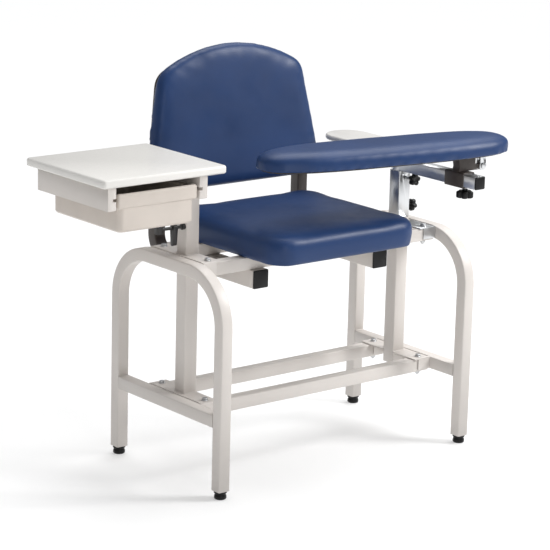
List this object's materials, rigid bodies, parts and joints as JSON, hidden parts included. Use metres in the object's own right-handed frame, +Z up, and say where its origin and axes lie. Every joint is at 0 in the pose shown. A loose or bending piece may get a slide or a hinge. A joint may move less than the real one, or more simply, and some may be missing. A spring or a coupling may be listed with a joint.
{
  "type": "patient recliner chair",
  "caption": "Tall blood-draw chair on a tube frame, with padded seat and back, a flip-up padded arm on a telescoping post and a side table with a drawer.",
  "frame": {"origin": "on the floor below the middle of the whole chair's box", "axes": "+Z up, -Y is the front that the sitter faces, +X is towards the flip arm"},
  "size_m": [1.1386, 0.576, 0.9888],
  "materials": {
    "enamel": "powder-coated warm beige, satin",
    "dark_enamel": "dark brown powder coat",
    "chrome": "bright plated",
    "zinc": "zinc plated, dull",
    "vinyl": "smooth blue vinyl, satin",
    "laminate": "pale laminate on board",
    "board": "dark underside board",
    "moulded": "moulded beige plastic",
    "black_plastic": "black moulded plastic",
    "black_metal": "black painted steel"
  },
  "bodies": {
    "chair": {"arm_socket": "zinc", "back_board": "board", "back_cushion": "vinyl", "cabinet_top": "laminate", "front_left_foot": "black_plastic", "front_left_lower_bolt": "zinc", "front_left_upper_bolt": "zinc", "front_right_foot": "black_plastic", "front_right_lower_bolt": "zinc", "front_right_upper_bolt": "zinc", "front_seat_cross_rail": "enamel", "front_stretcher": "enamel", "left_apron": "enamel", "left_back_upright": "dark_enamel", "left_hoop": "enamel", "left_lower_bracket": "enamel", "left_lower_rail": "enamel", "left_post": "enamel", "left_seat_rail": "enamel", "left_seat_rail_plug": "black_plastic", "left_upper_bracket": "enamel", "lever_rod": "black_metal", "rear_apron": "enamel", "rear_left_foot": "black_plastic", "rear_left_lower_bolt": "zinc", "rear_left_upper_bolt": "zinc", "rear_right_foot": "black_plastic", "rear_right_lower_bolt": "zinc", "rear_right_upper_bolt": "zinc", "rear_seat_cross_rail": "enamel", "rear_stretcher": "enamel", "right_apron": "enamel", "right_back_upright": "dark_enamel", "right_hoop": "enamel", "right_lower_bracket": "enamel", "right_lower_rail": "enamel", "right_post": "enamel", "right_seat_rail": "enamel", "right_seat_rail_plug": "black_plastic", "right_upper_bracket": "zinc", "seat_board": "board", "seat_cushion": "vinyl"},
    "drawer": {"drawer_tray": "moulded"},
    "lever": {"clamp_lever": "black_metal"},
    "arm": {"arm_bar": "chrome", "arm_bar_plug": "black_plastic", "armrest_board": "laminate", "armrest_standoff": "dark_enamel"},
    "carriage": {"arm_sleeve": "dark_enamel", "hinge_bracket": "dark_enamel", "pad_rest_bumper": "moulded", "hinge_pin": "zinc"},
    "flip_pad": {"arm_pad": "vinyl", "arm_pad_board": "board", "pad_hinge_leaf": "zinc"},
    "front_knob": {"front_arm_knob": "black_plastic"},
    "side_knob": {"side_arm_knob": "black_plastic"},
    "carriage_knob": {"sleeve_knob": "black_plastic"}
  },
  "joints": [
    {"name": "drawer_slide", "type": "slide", "parent": "chair", "child": "drawer", "axis": [0, -1, 0], "range_m": [0, 0.19]},
    {"name": "lever_pivot", "type": "hinge", "parent": "chair", "child": "lever", "pos_m": [-0.2898, -0.0056, 0.613], "axis": [1, 0, 0], "range_deg": [-60, 60]},
    {"name": "arm_height", "type": "slide", "parent": "chair", "child": "arm", "axis": [0, 0, 1], "range_m": [0, 0.15]},
    {"name": "arm_reach", "type": "slide", "parent": "arm", "child": "carriage", "axis": [0, -1, 0], "range_m": [-0.1, 0.034]},
    {"name": "arm_flip", "type": "hinge", "parent": "carriage", "child": "flip_pad", "pos_m": [0.4917, -0.2166, 0.716], "axis": [0, 1, 0], "range_deg": [0, 95]},
    {"name": "front_knob_turn", "type": "hinge", "parent": "chair", "child": "front_knob", "pos_m": [0.4242, -0.0406, 0.657], "axis": [0, -1, 0], "range_deg": [0, 540]},
    {"name": "side_knob_turn", "type": "hinge", "parent": "chair", "child": "side_knob", "pos_m": [0.4592, 0.0044, 0.58], "axis": [1, 0, 0], "range_deg": [0, 540]},
    {"name": "sleeve_knob_turn", "type": "hinge", "parent": "carriage", "child": "carriage_knob", "pos_m": [0.4242, -0.2326, 0.66], "axis": [0, 0, -1], "range_deg": [0, 540]}
  ]
}
